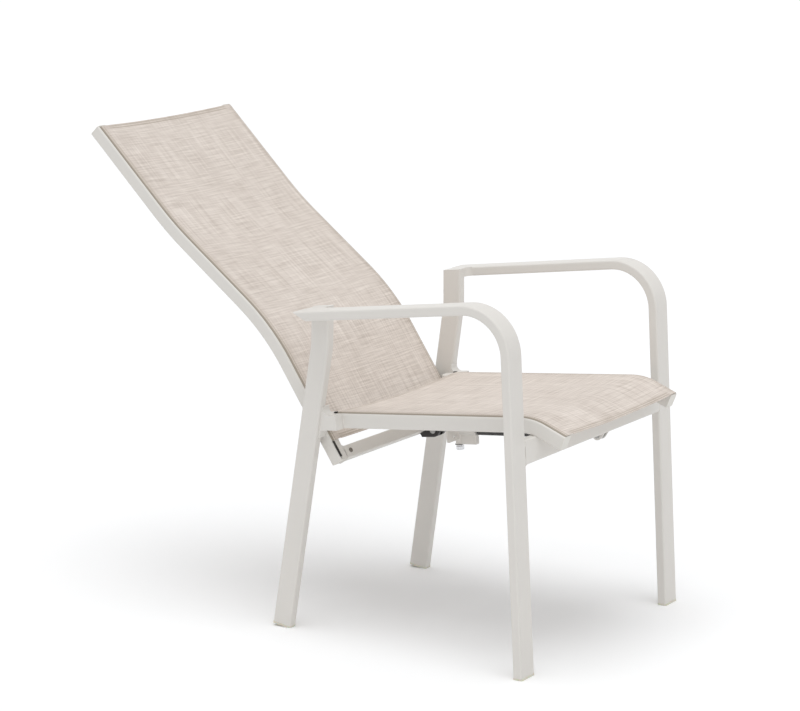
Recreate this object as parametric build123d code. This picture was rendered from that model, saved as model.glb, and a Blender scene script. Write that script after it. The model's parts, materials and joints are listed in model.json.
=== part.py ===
"""Reclining garden armchair: tube frame, stretched fabric seat and back, gas spring recliner.

Millimetres and degrees, +Z up. The sitter faces -Y, the sitter's left is +X. While the
pieces are modelled, y = 0 is near the front feet; at the end everything moves along Y so
that the origin is the middle of the footprint box, on the floor.
"""
import os
from math import cos, radians, sin, tan

from build123d import *

# Arm and front leg: one flat tube bent at the front
chair_width = 600.0
arm_width = 46.0
arm_thickness = 18.0
arm_corner = 3.5
arm_wall = 1.8
arm_bend = 80.5
front_foot_y = -1.8
front_leg_lean = 3.1
arm_front_height = 674.5
arm_slope = 7.6
arm_rear_y = 491.0

# Rear leg: inboard of the arm, leaning a little towards the middle of the chair
rear_leg_width = 20.0
rear_leg_depth = 39.0
rear_leg_corner = 4.0
rear_leg_wall = 2.0
rear_foot_inset = 12.4
rear_foot_y = 527.0
rear_leg_tuck = 1.0
rear_leg_lean = 8.7
rear_leg_knee_height = 545.0
rear_leg_knee_bend = 150.0
rear_leg_top_lean = 0.4
top_plate = 2.0
knuckle_flare = 12.0
knuckle_step = 0.4

# Feet
foot_rim = 4.0
foot_flat = 1.0
foot_plug = 16.0
foot_skirt = 0.6

# Slotted sling tubes: seat rails and back tubes
rail_width = 25.0
rail_inset = 38.0
rail_corner = 4.0
rail_wall = 1.6
seat_rail_depth = 28.0
back_tube_depth = 25.3
groove_width = 2.8
groove_bore = 6.0
groove_lip = 1.4
groove_wall = 1.1
keder_cord = 5.2

# Seat rail line: bend point at the front edge of the seat, seen from the side
rail_bend_y = 31.8
rail_bend_z = 442.7
rail_slope = 5.7
rail_drop = 22.0
rail_bend = 95.0
rail_nose = 68.6
rail_rear_y = 464.0
rail_cap = 2.5
cap_seat = 0.05
cap_round = 1.0
rail_cap_plug = 14.0
cap_plug_width = 12.0
cap_plug_inset = 3.0
plug_clearance = 0.15

# Tubes between the rails and the legs
cross_bar_height = 402.4
cross_bar_tall = 45.0
seat_tie_y = 436.0
seat_tie = 20.0
tie_corner = 3.0
tie_wall = 1.5
lug_reach_x = 22.0
lug_length = 34.0
lug_flare = 11.0
lug_foot = 16.0
lug_flange = 2.5

# Recline hinge and the back tube line from it
hinge_height = 388.5
hinge_bolt = 8.0
hinge_bolt_head = 14.0
hinge_bolt_head_height = 4.4
hinge_hex = 5.0
hinge_hex_depth = 2.4
hinge_running = 0.05
spacer_running = 0.1
hinge_side_gap = 0.3
bush_outer = 10.0
bush_flange = 15.0
bush_flange_thickness = 1.5
spacer_outer = 15.0
insert_outer = 11.0
insert_length = 13.0
insert_flange = 14.5
insert_flange_thickness = 1.0
back_low_lean = 33.4
back_mid_lean = 52.3
back_top_lean = 45.0
back_below_hinge = 80.3
back_low_run = 201.4
back_mid_run = 279.9
back_top_run = 247.2
lumbar_bend = 440.0
shoulder_bend = 700.0

# Spreaders of the back
back_tie = 25.0
spreader_below_top = 90.0
spreader_depth = 19.0
spreader_corner = 5.0
spreader_bow = 24.0
spreader_straight = 55.0
spreader_bow_bend = 110.0
tie_screw_inset = 16.0
tie_screw_head = 9.0
tie_screw_height = 2.2
tie_screw_shank = 4.5
tie_screw_length = 8.5

# Fabric slings
sling_thickness = 1.5
sling_gap = 0.3
sling_turn = 1.9
seat_sag = 6.0
back_sag = 6.0
seat_sling_rear = 16.0
seat_sling_front = 1.0
back_hem_up = 40.0
back_hem_top = 9.0

# Gas spring, lying below the seat
spring_x = 94.0
front_pin_reach = 24.0
front_pin_drop = 39.0
rear_pin_stand_off = 13.0
rear_pin_drop = 20.7
spring_pin = 8.0
pin_running = 0.05
pin_head = 12.0
pin_head_height = 2.5
cylinder_outer = 18.0
cylinder_wall = 1.5
cylinder_base = 3.0
cylinder_end = 262.0
cylinder_start = 16.0
gland_length = 9.0
front_eye_outer = 18.0
front_eye_width = 12.0
front_eye_stem = 10.0
rod_outer = 8.0
rod_inner_end = 60.0
piston_length = 14.0
piston_running = 0.1
rear_eye_outer = 16.4
rear_eye_width = 9.0
rear_eye_play = 2.0
bracket_sheet = 3.0
bracket_gap = 0.5
bracket_top = 6.0
bracket_round = 10.0

# Release head, its flange and the release button
head_start = 266.0
head_hub = 20.0
head_web = 10.0
head_boss = 16.0
head_bottom = 27.0
head_edge = 1.5
flange_place = 303.0
flange_sheet = 3.0
flange_half_width = 47.0
flange_top = 14.0
flange_bottom = 17.0
flange_corner = 3.0
flange_hole = 6.5
flange_hole_x = 23.0
flange_hole_down = 9.0
button_place = 306.5
button_outer = 16.0
button_height = 7.4
button_stem = 7.0
button_stem_length = 12.0
button_travel = 2.5
button_round = 1.2
button_edge = 0.6
button_dish = 11.2
button_dish_depth = 1.2
collar_outer = 19.0
collar_height = 1.0
collar_running = 0.1

# Rear clevis block on the lower cross tube of the back
clevis_width = 26.0
clevis_round = 13.0
clevis_wrap = 17.0
clevis_wrap_thickness = 8.0
clevis_lip = 9.0
clevis_slack = 1.0

# One overrun for every cut
past = 30.0

arm_outer_x = chair_width / 2
arm_inner_x = arm_outer_x - arm_width
arm_x = arm_outer_x - arm_width / 2
rear_foot_x = arm_inner_x - rear_foot_inset
hinge_leg_x = rear_foot_x - hinge_height * tan(radians(rear_leg_tuck))
tucked_half = insert_flange / 2 * tan(radians(rear_leg_tuck))
rear_leg_inner_x = hinge_leg_x - rear_leg_width / 2 / cos(radians(rear_leg_tuck)) - tucked_half
rail_outer_x = arm_inner_x - rail_inset
rail_inner_x = rail_outer_x - rail_width
tie_screw_x = rail_inner_x - tie_screw_inset
rail_x = rail_outer_x - rail_width / 2
groove_x = rail_outer_x - groove_wall - groove_bore / 2

nodes = {}


def rising(lean):
    """Step in (y, z) along a line that leans rearward by this angle from the vertical."""
    return Vector(0, sin(radians(lean)), cos(radians(lean)))


def behind(lean):
    """Step square to that line, towards the rear."""
    return Vector(0, cos(radians(lean)), -sin(radians(lean)))


def offset_corner(corner, first, second, distance):
    """Corner of two lines that both move sideways by the same distance."""
    return corner + (first + second) * (distance / (1 + first.dot(second)))


def at_height(point, lean, height):
    """Point at this height on the line through a point, leaning rearward by an angle."""
    return point + rising(lean) * ((height - point.Z) / rising(lean).Z)


def rounded(width, depth, corner):
    return RectangleRounded(width, depth, corner)


def tube_section(width, depth, corner, wall):
    """Hollow rounded tube, seen along its length."""
    void = rounded(width - 2 * wall, depth - 2 * wall, corner - wall)
    return rounded(width, depth, corner) - void


def section_plane(path, across=(1, 0, 0)):
    """Plane square to the start of a path."""
    return Plane(origin=path @ 0, x_dir=across, z_dir=path % 0)


def side_path(x, points, radii):
    """Path seen from the side: straight runs joined by tangent arcs, at one X."""
    placed = [Vector(x, point.Y, point.Z) for point in points]
    return FilletPolyline(*placed, radius=radii)


def swept(section, path):
    return sweep(section_plane(path) * section, path=path)


def drill(centre, diameter, length, direction):
    """Round bar that starts at a point and runs along a direction, for pins and for holes."""
    return Plane(origin=centre, z_dir=direction) * Cylinder(
        diameter / 2, length, align=(Align.CENTER, Align.CENTER, Align.MIN)
    )


def side_plate(outline, x_start, x_end):
    """Plate cut from an outline drawn in (y, z), from one X to another."""
    return extrude(Plane.YZ.offset(x_start) * outline, x_end - x_start)


def flat(*points):
    """Outline in (y, z) through these points."""
    corners = [(point.Y, point.Z) for point in points]
    return make_face(Polyline(*corners, close=True))


def disc(centre, radius):
    return Pos(centre.Y, centre.Z) * Circle(radius)


def round_hull(*shapes):
    """Outline stretched tight round some outlines."""
    return make_face(make_hull([edge for shape in shapes for edge in shape.edges()]).edges())


def crosswise_tube(centre, half_length, tall, deep, corner, wall, lean):
    """Straight tube along X, its section leaning with the frame member that carries it."""
    plane = Plane(origin=(-half_length, centre.Y, centre.Z), x_dir=behind(lean), z_dir=(1, 0, 0))
    return extrude(plane * tube_section(deep, tall, corner, wall), 2 * half_length)


def keep(name, shape):
    nodes[name] = shape


def keep_pair(name, left):
    """A piece at the sitter's left and its mirror image at the right."""
    nodes[name + "_left"] = left
    nodes[name + "_right"] = mirror(left, about=Plane.YZ)


def both_sides(shape):
    """The piece and its mirror image, as one group."""
    return Compound(children=[*shape.solids(), *mirror(shape, about=Plane.YZ).solids()])


# Side lines of the frame
front_foot = Vector(0, front_foot_y, 0)
elbow = at_height(front_foot, front_leg_lean, arm_front_height)
arm_line = 90 + arm_slope
elbow_centre = offset_corner(elbow, behind(front_leg_lean), behind(arm_line), arm_thickness / 2)
front_foot_centre = at_height(elbow_centre, front_leg_lean, 0)
arm_end = elbow_centre + rising(arm_line) * ((arm_rear_y - elbow_centre.Y) / rising(arm_line).Y)
arm_top = Plane(origin=elbow, x_dir=(1, 0, 0), z_dir=behind(arm_line) * -1)

rear_foot_centre = Vector(0, rear_foot_y + rear_leg_depth / 2 / cos(radians(rear_leg_lean)), 0)
knee = at_height(rear_foot_centre, -rear_leg_lean, rear_leg_knee_height)
rear_leg_end = at_height(knee, -rear_leg_top_lean, arm_front_height)
hinge = at_height(rear_foot_centre, -rear_leg_lean, hinge_height)

# Side line of the seat rail, front to rear
rail_corner_point = Vector(0, rail_bend_y, rail_bend_z)
rail_line = 90 + rail_slope
nose_line = 90 - rail_drop
nose = rail_corner_point - rising(nose_line) * rail_nose
rail_end_run = (rail_rear_y - rail_bend_y) / rising(rail_line).Y
rail_end = rail_corner_point + rising(rail_line) * rail_end_run

# Side line of the back tube, bottom to top
back_bottom = hinge - rising(back_low_lean) * back_below_hinge
lumbar = hinge + rising(back_low_lean) * back_low_run
shoulder = lumbar + rising(back_mid_lean) * back_mid_run
back_top = shoulder + rising(back_top_lean) * back_top_run
back_tie_centre = back_bottom + rising(back_low_lean) * (back_tie / 2)


def sole_start(depth, lean):
    """Distance from the floor to the middle of a foot whose low edge is cut flat."""
    return (depth / 2 * sin(radians(abs(lean))) - foot_flat) / cos(radians(lean))


def front_leg_and_arm(section):
    """Bar from the front foot up, round the elbow and back to the arm's end."""
    start = front_foot_centre + rising(front_leg_lean) * (
        sole_start(arm_thickness, front_leg_lean) + foot_rim
    )
    return swept(section, side_path(arm_x, [start, elbow_centre, arm_end], [arm_bend]))


def arm_end_plug():
    """Flush plug that closes the arm's rear end."""
    end = Vector(arm_x, arm_end.Y, arm_end.Z)
    plane = Plane(origin=end, x_dir=(1, 0, 0), z_dir=rising(arm_line))
    lid = extrude(plane * rounded(arm_width, arm_thickness, arm_corner), rail_cap)
    lid = fillet(lid.faces().sort_by(Axis(end, rising(arm_line)))[-1].edges(), cap_round)
    inner_width = arm_width - 2 * arm_wall - 2 * plug_clearance
    inner_depth = arm_thickness - 2 * arm_wall - 2 * plug_clearance
    stem = extrude(plane * rounded(inner_width, inner_depth, arm_corner / 2), -rail_cap_plug)
    return lid + stem


def tucked(point):
    """The point moved to the leg's own X, which comes inwards with height."""
    return Vector(rear_foot_x - point.Z * tan(radians(rear_leg_tuck)), point.Y, point.Z)


def rear_leg_path():
    start = rear_foot_centre + rising(-rear_leg_lean) * (
        sole_start(rear_leg_depth, rear_leg_lean) + foot_rim
    )
    return FilletPolyline(*[tucked(point) for point in (start, knee, rear_leg_end)],
                          radius=rear_leg_knee_bend)


def rear_leg_bar():
    """Outer form of the rear leg, its top cut to the slope of the arm."""
    bar = swept(rounded(rear_leg_width, rear_leg_depth, rear_leg_corner), rear_leg_path())
    return split(bar, bisect_by=arm_top, keep=Keep.BOTTOM)


def rear_leg():
    """Hollow rear leg, closed by a plate at the top, with the hole for its hinge insert."""
    void_corner = rear_leg_corner - rear_leg_wall
    void_width = rear_leg_width - 2 * rear_leg_wall
    void_depth = rear_leg_depth - 2 * rear_leg_wall
    void = swept(rounded(void_width, void_depth, void_corner), rear_leg_path())
    void = split(void, bisect_by=arm_top.offset(-top_plate), keep=Keep.BOTTOM)
    insert_hole = drill((rear_leg_inner_x - past, hinge.Y, hinge.Z), insert_outer,
                        past + rear_leg_width / 2, (1, 0, 0))
    return rear_leg_bar() - void - insert_hole


def arm_knuckle():
    """Block that joins the rear leg's top to the arm's inner side, hollowed in front."""
    upper = at_height(knee, -rear_leg_top_lean, arm_end.Z)
    middle = elbow_centre + rising(arm_line) * (upper - elbow_centre).dot(rising(arm_line))
    half_depth = rear_leg_depth / 2 - rear_leg_corner / 2
    half_height = arm_thickness / 2 - knuckle_step
    place = Vector(arm_inner_x, middle.Y, middle.Z) + behind(arm_line) * half_height
    plane = Plane(origin=place, x_dir=(1, 0, 0), z_dir=behind(arm_line) * -1)
    leg_x = tucked(upper).X - arm_inner_x
    flare_y = -half_depth - knuckle_flare
    side = Polyline((0, flare_y), (arm_corner, flare_y), (arm_corner, half_depth),
                    (leg_x, half_depth), (leg_x, -half_depth), (-knuckle_flare, -half_depth))
    side += CenterArc((-knuckle_flare, flare_y), knuckle_flare, 0, 90)
    block = extrude(plane * make_face(side), 2 * half_height)
    arm = front_leg_and_arm(rounded(arm_width, arm_thickness, arm_corner))
    return block - rear_leg_bar() - arm


def foot_glide(x, tuck, width, depth, corner, wall, centre, lean):
    """Plastic foot: a rim square to the leg, its low edge flat on the floor, and a plug."""
    base = centre + rising(lean) * sole_start(depth, lean)
    up = rising(lean) - Vector(cos(radians(lean)) * tan(radians(tuck)), 0, 0)
    plane = Plane(origin=(x, base.Y, base.Z), x_dir=(1, 0, 0), z_dir=up)
    rim = extrude(
        plane * rounded(width + 2 * foot_skirt, depth + 2 * foot_skirt, corner + foot_skirt), foot_rim
    )
    reach = wall + plug_clearance
    plug = rounded(width - 2 * reach, depth - 2 * reach, corner / 2)
    stem = extrude(plane.offset(foot_rim) * plug, foot_plug)
    return split(rim + stem, bisect_by=Plane.XY, keep=Keep.TOP)


def sling_tube_section(depth):
    """Slotted tube for a corded fabric edge; the slot is on the side of negative y."""
    void_width = rail_width - 2 * rail_wall
    hollow = rounded(void_width, depth - 2 * rail_wall, rail_corner - rail_wall)
    local_x = groove_x - rail_x
    bore_y = -depth / 2 + groove_lip + groove_bore / 2
    wall_round = Pos(local_x, bore_y) * Circle(groove_bore / 2 + groove_wall)
    bore = Pos(local_x, bore_y) * Circle(groove_bore / 2)
    slot = Pos(local_x, bore_y - past / 2) * Rectangle(groove_width, past)
    body = rounded(rail_width, depth, rail_corner) - hollow
    outline = rounded(rail_width, depth, rail_corner)
    return (body + (wall_round & outline)) - bore - slot


def keder_section(depth):
    local_x = groove_x - rail_x
    bore_y = -depth / 2 + groove_lip + groove_bore / 2
    return Pos(local_x, bore_y) * Circle(keder_cord / 2)


def sling(path, depth, sag):
    """Fabric of even thickness: the difference of two shells around the section line."""
    level = -depth / 2 - sling_gap
    tip = -depth / 2 + groove_lip + (groove_bore - keder_cord) / 2 - sling_gap
    half = sling_thickness / 2
    outer_x = groove_x + half
    inner_x = groove_x - half
    turn = sling_turn + half
    small = sling_turn - half
    top = level - sling_thickness
    outline = Line((outer_x, tip), (outer_x, top + turn))
    outline += CenterArc((outer_x - turn, top + turn), turn, 0, -90)
    outline += Line((outer_x - turn, top), (rail_inner_x, top))
    outline += ThreePointArc((rail_inner_x, top), (0, top + sag), (-rail_inner_x, top))
    outline += Line((-rail_inner_x, top), (turn - outer_x, top))
    outline += CenterArc((turn - outer_x, top + turn), turn, 180, 90)
    outline += Line((-outer_x, top + turn), (-outer_x, tip))
    outline += Line((-outer_x, tip), (-inner_x, tip))
    outline += Line((-inner_x, tip), (-inner_x, level + small))
    outline += CenterArc((small - inner_x, level + small), small, 180, 90)
    outline += Line((small - inner_x, level), (-rail_inner_x, level))
    outline += ThreePointArc((-rail_inner_x, level), (0, level + sag), (rail_inner_x, level))
    outline += Line((rail_inner_x, level), (inner_x - small, level))
    outline += CenterArc((inner_x - small, level + small), small, -90, 90)
    outline += Line((inner_x, level + small), (inner_x, tip))
    outline += Line((inner_x, tip), (outer_x, tip))
    return sweep(section_plane(path) * make_face(outline), path=path)


def rail_points(front_trim=0.0, rear_trim=0.0):
    return [
        nose + rising(nose_line) * front_trim,
        rail_corner_point,
        rail_end - rising(rail_line) * rear_trim,
    ]


def back_points(low_trim=0.0, top_trim=0.0):
    return [
        back_bottom + rising(back_low_lean) * low_trim,
        lumbar,
        shoulder,
        back_top - rising(back_top_lean) * top_trim,
    ]


def tube_cap(x, end, direction, depth, inner_depth):
    """Plastic cap with a thin rim and a plug, on the end of a slotted tube."""
    plane = Plane(origin=(x, end.Y, end.Z), x_dir=(1, 0, 0), z_dir=direction)
    lid = extrude(plane * rounded(rail_width, depth, rail_corner), rail_cap)
    lid = fillet(lid.faces().sort_by(Axis((x, end.Y, end.Z), direction))[-1].edges(), cap_round)
    plug = Rectangle(cap_plug_width, inner_depth)
    stem = extrude(plane * (Pos(-cap_plug_inset, 0) * plug), -rail_cap_plug)
    return lid + stem


def plug_depth(depth):
    """Depth of a plug that clears the cord's groove inside the tube."""
    return depth - 2 * (groove_lip + groove_bore + groove_wall + plug_clearance)


def rear_lug():
    """Cast lug between the seat rail's outer side and the rear leg's front face."""
    leg_face = hinge - behind(-rear_leg_lean) * (rear_leg_depth / 2)
    leg_up = rising(-rear_leg_lean)
    leg_back = behind(-rear_leg_lean)
    along = rising(rail_line)
    over = behind(rail_line) * -(seat_rail_depth / 2)

    def on_face(point, set_back):
        """Where a line along the rail meets the leg's face, or stops short of it."""
        return point + along * (((leg_face - point).dot(leg_back) - set_back) / along.dot(leg_back))

    front = rail_end - along * lug_length
    high_corner = on_face(rail_end + over, lug_flange)
    low_corner = on_face(rail_end - over, lug_flange)
    reach = leg_up * lug_foot
    web = leg_back * lug_flange
    points = [front - over, front + over, high_corner, high_corner + reach,
              high_corner + reach + web, low_corner - reach + web, low_corner - reach, low_corner]
    radii = [0, 0, lug_flare, 0, 0, 0, 0, lug_flare]
    places = [(point.Y, point.Z) for point in points]
    outline = make_face(FilletPolyline(*places, radius=radii, close=True))
    return side_plate(outline, rail_outer_x, rail_outer_x + lug_reach_x)


def hinge_at(x):
    return Vector(x, hinge.Y, hinge.Z)


def along_x(x_start, x_end, diameter, bore=0.0, at=None):
    """Round pin or ring with its axis along X, on the hinge unless told otherwise."""
    place = at or hinge
    start = Vector(x_start, place.Y, place.Z)
    bar = drill(start, diameter, x_end - x_start, (1, 0, 0))
    if bore:
        bar -= drill(start, bore, x_end - x_start, (1, 0, 0))
    return bar


def hinge_bolt_piece():
    """Button-headed bolt from the inner side of the back tube into the leg's insert."""
    under_head = rail_inner_x - hinge_side_gap
    outer_end = rear_leg_inner_x + insert_length
    head = along_x(under_head - hinge_bolt_head_height, under_head, hinge_bolt_head)
    rim = head.faces().sort_by(Axis.X)[0].edges()
    head = fillet(rim, hinge_bolt_head_height / 2)
    socket_plane = Plane(origin=hinge_at(under_head - hinge_bolt_head_height), z_dir=(1, 0, 0))
    socket = extrude(socket_plane * RegularPolygon(hinge_hex / 2, 6, major_radius=False),
                     hinge_hex_depth)
    return head + along_x(under_head, outer_end, hinge_bolt) - socket


def hinge_bush_piece():
    """Flanged plastic bush through the back tube."""
    bore = hinge_bolt + 2 * hinge_running
    sleeve = along_x(rail_inner_x, rail_outer_x, bush_outer, bore)
    return sleeve + along_x(rail_outer_x, rail_outer_x + bush_flange_thickness, bush_flange, bore)


def hinge_spacer_piece():
    start = rail_outer_x + bush_flange_thickness + hinge_side_gap
    end = rear_leg_inner_x - insert_flange_thickness
    return along_x(start, end, spacer_outer, hinge_bolt + 2 * spacer_running)


def hinge_insert_piece():
    """Threaded insert with a thin flange, set in the inner wall of the rear leg."""
    bore = hinge_bolt + 2 * hinge_running
    start = rear_leg_inner_x - insert_flange_thickness
    flange = along_x(start, rear_leg_inner_x, insert_flange, bore)
    shank = insert_outer - 2 * hinge_running
    return flange + along_x(rear_leg_inner_x, rear_leg_inner_x + insert_length, shank, bore)


def back_tube():
    end = rail_cap + cap_seat
    path = side_path(rail_x, back_points(end, end), [lumbar_bend, shoulder_bend])
    tube = swept(sling_tube_section(back_tube_depth), path)
    hole = bush_outer + 2 * hinge_running
    return tube - drill(hinge_at(rail_inner_x - past), hole, rail_width + 2 * past, (1, 0, 0))


def seat_rail():
    end = rail_cap + cap_seat
    path = side_path(rail_x, rail_points(end, end), [rail_bend])
    return swept(sling_tube_section(seat_rail_depth), path)


def cross_bar():
    """Bar between the front legs, notched where the seat rails lie on it."""
    bar = crosswise_tube(bar_centre, arm_inner_x, cross_bar_tall, arm_thickness, arm_corner,
                         arm_wall, front_leg_lean)
    path = side_path(rail_x, rail_points(), [rail_bend])
    notch = swept(rounded(rail_width, seat_rail_depth, rail_corner), path)
    return bar - notch - mirror(notch, about=Plane.YZ)


def upper_spreader():
    """Spreader between the back tubes, bowed rearward to clear the fabric."""
    centre = back_top - rising(back_top_lean) * spreader_below_top
    bow = behind(back_top_lean) * spreader_bow
    reach = Vector(rail_inner_x, 0, 0)
    knee_x = Vector(rail_inner_x - spreader_straight, 0, 0)
    on_share = spreader_depth / spreader_straight
    ends = [centre - reach - (bow + reach - knee_x) * on_share, centre - knee_x + bow,
            centre + knee_x + bow, centre + reach - (bow - reach + knee_x) * on_share]
    path = FilletPolyline(*ends, radius=spreader_bow_bend)
    section = tube_section(spreader_depth, spreader_depth, spreader_corner, tie_wall)
    bar = sweep(section_plane(path, rising(back_top_lean)) * section, path=path)
    bar = split(bar, bisect_by=Plane.YZ.offset(rail_inner_x), keep=Keep.BOTTOM)
    return split(bar, bisect_by=Plane.YZ.offset(-rail_inner_x), keep=Keep.TOP)


def tie_screw(x):
    """Pan-headed screw in the front face of the lower cross tube."""
    out = behind(back_low_lean) * -1
    face = Vector(x, back_tie_centre.Y, back_tie_centre.Z) + out * (back_tie / 2)
    head = drill(face, tie_screw_head, tie_screw_height, out)
    rim = head.faces().sort_by(Axis(face, out))[-1].edges()
    head = fillet(rim, tie_screw_height / 2)
    return head + drill(face, tie_screw_shank, tie_screw_length, out * -1)


def lower_tie():
    tube = crosswise_tube(back_tie_centre, rail_inner_x, back_tie, back_tie, tie_corner, tie_wall,
                          back_low_lean)
    out = behind(back_low_lean) * -1
    for x in (-tie_screw_x, tie_screw_x):
        face = Vector(x, back_tie_centre.Y, back_tie_centre.Z) + out * back_tie
        tube -= drill(face, tie_screw_shank + 2 * pin_running, back_tie, out * -1)
    return tube


# Gas spring line, front pin to rear pin
bar_centre = at_height(front_foot_centre, front_leg_lean, cross_bar_height)
bar_rear = bar_centre + behind(front_leg_lean) * (arm_thickness / 2)
front_pin = bar_rear + Vector(0, front_pin_reach, -front_pin_drop)
tie_out = behind(back_low_lean) * -1
rear_pin = (back_tie_centre + tie_out * (back_tie / 2 + rear_pin_stand_off)
            - rising(back_low_lean) * rear_pin_drop)
spring_line = (rear_pin - front_pin).normalized()
spring_length = (rear_pin - front_pin).length
spring_down = spring_line.cross(Vector(1, 0, 0))
head_end = button_place + head_boss / 2


def on_spring(distance, down=0.0, x=0.0):
    """Point on the spring's axis, measured from the front pin, or below or beside it."""
    return (Vector(spring_x + x, front_pin.Y, front_pin.Z) + spring_line * distance
            + spring_down * down)


def spring_ring(start, end, diameter, bore=0.0):
    ring = drill(on_spring(start), diameter, end - start, spring_line)
    if bore:
        ring -= drill(on_spring(start), bore, end - start, spring_line)
    return ring


def head_plane(x=0.0):
    """Plane seen from the side: its x runs along the spring, its y downwards."""
    return Plane(origin=on_spring(0, 0, x), x_dir=spring_line, z_dir=(-1, 0, 0))


def spring_bracket():
    """U-shaped sheet bracket welded to the rear face of the front cross bar."""
    inner = front_eye_width / 2 + bracket_gap
    outer = inner + bracket_sheet
    up = rising(front_leg_lean)
    high = bar_rear + up * bracket_top
    low = bar_rear - up * (cross_bar_tall / 2 - arm_corner)
    web = behind(front_leg_lean) * bracket_sheet
    base = flat(high, low, low + web, high + web)
    cheek = round_hull(base, disc(front_pin, bracket_round))
    bracket = side_plate(cheek, spring_x - outer, spring_x - inner)
    bracket += side_plate(cheek, spring_x + inner, spring_x + outer)
    bracket += side_plate(base, spring_x - inner, spring_x + inner)
    hole = spring_pin + 2 * pin_running
    return bracket - along_x(spring_x - past, spring_x + past, hole, at=front_pin)


def headed_pin(at, half_grip):
    """Round pin with a flat head on each side of what it holds."""
    left = spring_x + half_grip
    right = spring_x - half_grip
    pin = along_x(right - pin_head_height, left + pin_head_height, spring_pin, at=at)
    pin += along_x(right - pin_head_height, right, pin_head, at=at)
    return pin + along_x(left, left + pin_head_height, pin_head, at=at)


def spring_cylinder():
    """Closed steel tube with an open rear end for the gland."""
    bore = cylinder_outer - 2 * cylinder_wall
    tube = spring_ring(cylinder_start, cylinder_end, cylinder_outer)
    rim = tube.faces().sort_by(Axis(on_spring(0), spring_line))[0].edges()
    tube = fillet(rim, cylinder_wall)
    return tube - drill(on_spring(cylinder_start + cylinder_base), bore, spring_length,
                        spring_line)


def spring_gland():
    bore = rod_outer + 2 * pin_running
    fit = cylinder_outer - 2 * cylinder_wall
    return spring_ring(cylinder_end - gland_length, cylinder_end, fit, bore)


def front_eye():
    """End fitting of the cylinder, turning on the front pin."""
    half = front_eye_width / 2
    eye = along_x(spring_x - half, spring_x + half, front_eye_outer, at=front_pin)
    eye += spring_ring(0, cylinder_start, front_eye_stem)
    bore = spring_pin + 2 * pin_running
    return eye - along_x(spring_x - past, spring_x + past, bore, at=front_pin)


def spring_rod():
    return spring_ring(rod_inner_end, (head_start + head_end) / 2, rod_outer)


def spring_piston():
    outer = cylinder_outer - 2 * cylinder_wall - 2 * piston_running
    return spring_ring(rod_inner_end, rod_inner_end + piston_length, outer, rod_outer)


def release_head():
    """Casting on the rod's end: a hub, a thin web below it and a boss for the button."""
    web = make_face(Polyline((head_start, 0), (button_place, 0), (button_place, head_bottom),
                             (head_start, head_bottom), close=True))
    web = fillet(web.vertices().group_by(Axis.X)[0].group_by(Axis.Y)[-1], head_edge)
    block = extrude(head_plane(head_web / 2) * web, head_web)
    block += spring_ring(head_start, head_end, head_hub)
    block += drill(on_spring(button_place), head_boss, head_bottom, spring_down)
    middle = (head_start + head_end) / 2
    block -= drill(on_spring(head_start - past), rod_outer, middle - head_start + past, spring_line)
    well = button_stem + 2 * pin_running
    depth = button_stem_length + button_travel
    return block - drill(on_spring(button_place, head_bottom - depth), well, depth + past,
                         spring_down)


def head_flange():
    """Cross plate round the release head, with a screw hole on each side."""
    plane = Plane(origin=on_spring(flange_place), x_dir=(1, 0, 0), z_dir=spring_line)
    middle = (flange_bottom - flange_top) / 2
    plate = Pos(0, middle) * rounded(2 * flange_half_width, flange_bottom + flange_top,
                                     flange_corner)
    for x in (-flange_hole_x, flange_hole_x):
        plate -= Pos(x, flange_hole_down) * Circle(flange_hole / 2)
    plate = extrude(plane * plate, flange_sheet)
    plate -= spring_ring(head_start, head_end, head_hub)
    return plate - drill(on_spring(button_place), head_boss, head_bottom, spring_down) - extrude(
        head_plane(head_web / 2) * Pos(button_place, head_bottom / 2) * Rectangle(
            head_boss, head_bottom), head_web)


def rod_eye():
    """Eye end of the rod, loose on the rear pin by the play that its straight travel needs."""
    half = rear_eye_width / 2
    eye = along_x(spring_x - half, spring_x + half, rear_eye_outer, at=rear_pin)
    eye += spring_ring(head_end, spring_length, rod_outer)
    return eye - along_x(spring_x - past, spring_x + past, spring_pin + 2 * rear_eye_play,
                         at=rear_pin)


def button_collar():
    down = on_spring(button_place, head_bottom)
    bore = button_stem + 2 * collar_running
    return drill(down, collar_outer, collar_height, spring_down) - drill(
        down, bore, collar_height, spring_down)


def release_button():
    """Dished round knob on a stem that runs up into the release head."""
    under = head_bottom + collar_height + button_travel + hinge_side_gap
    stem_top = head_bottom - button_stem_length
    knob = drill(on_spring(button_place, under), button_outer, button_height, spring_down)
    axis = Axis(on_spring(button_place), spring_down)
    knob = fillet(knob.faces().sort_by(axis)[-1].edges(), button_round)
    knob = fillet(knob.faces().sort_by(axis)[0].edges(), button_edge)
    low = on_spring(button_place, under + button_height - button_dish_depth)
    knob -= drill(low, button_dish, button_height, spring_down)
    return knob + drill(on_spring(button_place, stem_top), button_stem, under - stem_top,
                        spring_down)


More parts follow.
